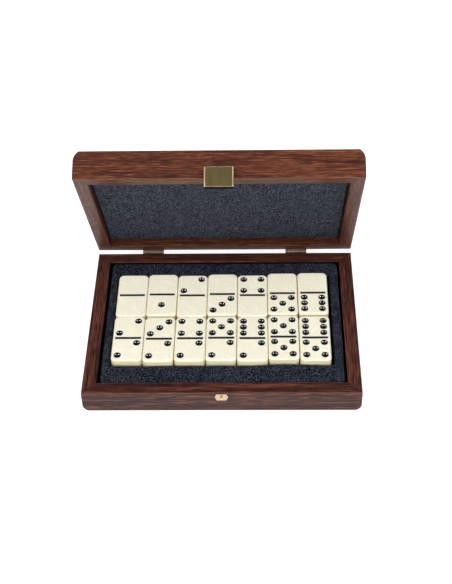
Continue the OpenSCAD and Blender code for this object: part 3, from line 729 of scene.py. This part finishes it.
def make_screw_tree():
    """A slotted screw head on each point."""
    tree, given, output = new_shape_tree("slotted screws", [
        ("Screw", "Object", None), ("Turn", "Rotation", None), ("Seed", "Int", 3), ("Finish", "Material", None)])
    form = add(tree, "GeometryNodeObjectInfo", {"Object": given["Screw"]})
    spin = add(tree, "FunctionNodeRandomValue", {"Seed": given["Seed"]}, data_type="FLOAT")
    spin.inputs[2].default_value = 0.0
    spin.inputs[3].default_value = math.pi
    twist = add(tree, "ShaderNodeCombineXYZ", {"Z": spin.outputs[1]})
    own = add(tree, "FunctionNodeEulerToRotation", {0: twist.outputs[0]})
    turn = add(tree, "FunctionNodeRotateRotation", {0: own.outputs[0], 1: given["Turn"]}, rotation_space="GLOBAL")
    screws = add(tree, "GeometryNodeInstanceOnPoints", {"Points": given["Geometry"],
                                                        "Instance": form.outputs["Geometry"],
                                                        "Rotation": turn.outputs[0]})
    real = add(tree, "GeometryNodeRealizeInstances", {"Geometry": screws.outputs[0]})
    finish = add(tree, "GeometryNodeSetMaterial", {"Geometry": real.outputs[0], "Material": given["Finish"]})
    put(tree, output.inputs[0], finish.outputs[0])
    return tree


def grown(name, points, tree, values, angle=30):
    """Runs a shape tree on a set of points and keeps the result as a plain mesh."""
    mesh = bpy.data.meshes.new(name + "_points")
    mesh.from_pydata([tuple(point) for point in points], [], [])
    holder = bpy.data.objects.new(name + "_points", mesh)
    bpy.context.scene.collection.objects.link(holder)
    modifier = holder.modifiers.new("shape", "NODES")
    modifier.node_group = tree
    sockets = {item.name: item.identifier for item in tree.interface.items_tree
               if item.item_type == "SOCKET" and item.in_out == "INPUT"}
    for socket, value in values.items():
        modifier[sockets[socket]] = value
    graph = bpy.context.evaluated_depsgraph_get()
    graph.update()
    made = bpy.data.meshes.new_from_object(holder.evaluated_get(graph), depsgraph=graph)
    made.name = name
    holder.modifiers.clear()
    bpy.data.objects.remove(holder)
    piece = bpy.data.objects.new(name, made)
    bpy.context.scene.collection.objects.link(piece)
    shade_smooth(piece, angle)
    return piece


PIP_CORNERS = [(-1, -1), (1, 1), (-1, 1), (1, -1)]
PIP_STEPS = [[], [(0, 0)], [(-1, -1), (1, 1)], [(-1, -1), (0, 0), (1, 1)], PIP_CORNERS,
             PIP_CORNERS + [(0, 0)], PIP_CORNERS + [(-1, 0), (1, 0)]]
# These tiles lie with their higher number to the rear
TURNED = {"domino_0_2", "domino_0_4", "domino_2_3", "domino_2_4", "domino_2_5", "domino_2_6", "domino_5_6"}


def tile_inlays():
    """The black pips and line of every tile, set a hair above the floors of their dishes."""
    tree = make_inlay_tree()
    pitch_x, pitch_y, shift, lift = 7.05 * MM, 6.45 * MM, -0.15 * MM, 0.035 * MM
    half_enamel, line_depth, half_line = 0.06 * MM, 0.6 * MM, 0.24 * MM
    for name in tiles:
        low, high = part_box(name)
        middle = (low + high) / 2
        quarter = (high.y - low.y) / 4 + shift
        counts = [int(part) for part in name.split("_")[1:]]
        if name in TURNED:
            counts.reverse()
        points = [(middle.x + step[0] * pitch_x, middle.y + half * quarter + step[1] * pitch_y,
                   high.z + lift - half_enamel)
                  for half, count in zip((1, -1), counts) for step in PIP_STEPS[count]]
        piece = grown(name + "_inlay", points, tree, {
            "Line Middle": (middle.x, middle.y, high.z - line_depth + half_line + lift), "Finish": ENAMEL,
            "Line Finish": LINE_ENAMEL})
        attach(piece, name)


def screw_form():
    """A countersunk head with a slot, its face at 0 and its shank down Z."""
    turns = 32
    angles = [2 * math.pi * (k + 0.5) / turns for k in range(turns)]
    slot_long, slot_wide, slot_deep = 1.45 * MM, 0.28 * MM, 0.45 * MM
    profile = (0.8, -8.0), (0.8, -1.0), (1.66, -0.06), (1.70, 0.0)  # radius and height, in mm
    rings = [[Vector((r * math.cos(a), r * math.sin(a), z)) * MM for a in angles] for r, z in profile]
    slot = [Vector((math.cos(a), math.sin(a), 0)) * min(slot_long / abs(math.cos(a)), slot_wide / abs(math.sin(a)))
            for a in angles]
    rings += [slot, [point - Vector((0, 0, slot_deep)) for point in slot]]
    bm = bmesh.new()
    loops = loft(bm, rings)
    bm.faces.new(loops[0][::-1])
    bm.faces.new(loops[-1])
    return new_piece("screw_form", bm, [HINGE_BRASS])


def hinge_screws():
    """Two slotted screws in each leaf of both hinges."""
    tree = make_screw_tree()
    form = screw_form()
    hinge_x, half_pitch = 60, 4.8
    for shell in ("base", "lid"):
        node = f"{shell}_hinge_screws"
        low, high = closed_box(node) if shell == "lid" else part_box(node)
        z = (low.z + high.z) / 2
        xs = [side * hinge_x * MM + step * half_pitch * MM for side in (-1, 1) for step in (-1, 1)]
        points = [Vector((x, high.y, z)) for x in xs]
        turn = Matrix.Rotation(-math.pi / 2, 4, "X")
        if shell == "lid":
            points = [lid_turn @ point for point in points]
            turn = lid_turn.to_3x3().to_4x4() @ turn
        piece = grown(node + "_slotted", points, tree, {
            "Screw": form, "Turn": tuple(turn.to_euler()), "Finish": HINGE_BRASS})
        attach(piece, shell)
        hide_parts(node)
    bpy.data.objects.remove(form)


foam_insert()
lid_pad()
floor_felt()
latch_plate()
keeper()
tile_inlays()
hinge_screws()


# Floor, light and camera


def studio_floor():
    """A pale floor that the camera sees white away from the object's shadow."""
    mesh = bpy.data.meshes.new("studio_floor")
    size = 6.0
    mesh.from_pydata([(-size, -size, 0), (size, -size, 0), (size, size, 0), (-size, size, 0)], [], [(0, 1, 2, 3)])
    floor = bpy.data.objects.new("studio_floor", mesh)
    bpy.context.scene.collection.objects.link(floor)
    material, tree, shader, _ = new_material("studio_floor")
    finish_shader(tree, shader, Base_Color=(0.60, 0.60, 0.60, 1), Roughness=0.9, Specular_IOR_Level=0.1)
    seen = tree.nodes.new("ShaderNodeLightPath")
    mirrored = maths(tree, "MAXIMUM", seen.outputs["Is Glossy Ray"], seen.outputs["Is Transmission Ray"])
    direct = maths(tree, "MAXIMUM", seen.outputs["Is Camera Ray"], mirrored)
    shader.inputs["Emission Color"].default_value = (1, 1, 1, 1)
    glow = maths(tree, "MULTIPLY", seen.outputs["Is Camera Ray"], 0.46)
    put(tree, shader.inputs["Emission Strength"], maths(tree, "ADD", maths(tree, "MULTIPLY", direct, 0.35), glow))
    mesh.materials.append(material)


def world_light():
    """A white studio that shiny faces see white at the horizon and dim overhead."""
    world = bpy.data.worlds.new("studio")
    bpy.context.scene.world = world
    world.use_nodes = True
    tree = world.node_tree
    tree.nodes.clear()
    seen = tree.nodes.new("ShaderNodeLightPath")
    mirrored = maths(tree, "MAXIMUM", seen.outputs["Is Glossy Ray"], seen.outputs["Is Transmission Ray"])
    place = tree.nodes.new("ShaderNodeTexCoord").outputs["Generated"]
    height = add(tree, "ShaderNodeSeparateXYZ", {0: place}).outputs[2]
    ceiling = step_up(tree, height, 0.02, 0.40, 0.62, -0.34)
    fill = 0.38
    strength = maths(tree, "ADD", maths(tree, "MULTIPLY", seen.outputs["Is Camera Ray"], 1 - fill), fill)
    strength = maths(tree, "ADD", strength, maths(tree, "MULTIPLY", mirrored, ceiling))
    background = add(tree, "ShaderNodeBackground", {"Color": (1, 1, 1, 1), "Strength": strength})
    output = tree.nodes.new("ShaderNodeOutputWorld")
    tree.links.new(background.outputs[0], output.inputs["Surface"])


def soft_box(name, place, target, width, height, power, mirrored=True):
    """A soft lamp. One that isn't mirrored gives no highlights."""
    light = bpy.data.lights.new(name, "AREA")
    light.shape = "RECTANGLE"
    light.size, light.size_y = width, height
    light.energy = power
    lamp = bpy.data.objects.new(name, light)
    lamp.visible_glossy = mirrored
    lamp.location = place
    lamp.rotation_euler = (Vector(target) - Vector(place)).to_track_quat("-Z", "Y").to_euler()
    bpy.context.scene.collection.objects.link(lamp)


def camera():
    """The photograph's camera, with its focal length and long side in pixels and the sensor in mm."""
    pitch, yaw, roll = (math.radians(angle) for angle in (44.68, -2.11, -1.77))
    focal, long_side, sensor = 1196.2, 584, 36.0
    forward = Vector((math.sin(yaw) * math.cos(pitch), math.cos(yaw) * math.cos(pitch), -math.sin(pitch)))
    right = Vector((math.cos(yaw), -math.sin(yaw), 0))
    up = right.cross(forward)
    right, up = right * math.cos(roll) + up * math.sin(roll), up * math.cos(roll) - right * math.sin(roll)
    turn = Matrix((right, up, -forward)).transposed().to_4x4()
    data = bpy.data.cameras.new("camera")
    data.lens = focal * sensor / long_side
    data.sensor_width = sensor
    data.clip_start, data.clip_end = 0.01, 50
    eye = bpy.data.objects.new("camera", data)
    eye.matrix_world = Matrix.Translation(Vector((27.4, -661.5, 705.4)) * MM) @ turn
    bpy.context.scene.collection.objects.link(eye)
    bpy.context.scene.camera = eye


studio_floor()
world_light()
soft_box("front", (0, -1.3, 0.6), (0, 0, 0.05), 1.2, 0.6, 10, False)
for side_name, side_x in (("left", -0.93), ("right", 0.93)):
    soft_box(side_name, (side_x, -0.42, 1.10), (0, 0, 0.02), 0.28, 0.28, 10)
camera()
bpy.context.scene.view_settings.view_transform = "Standard"
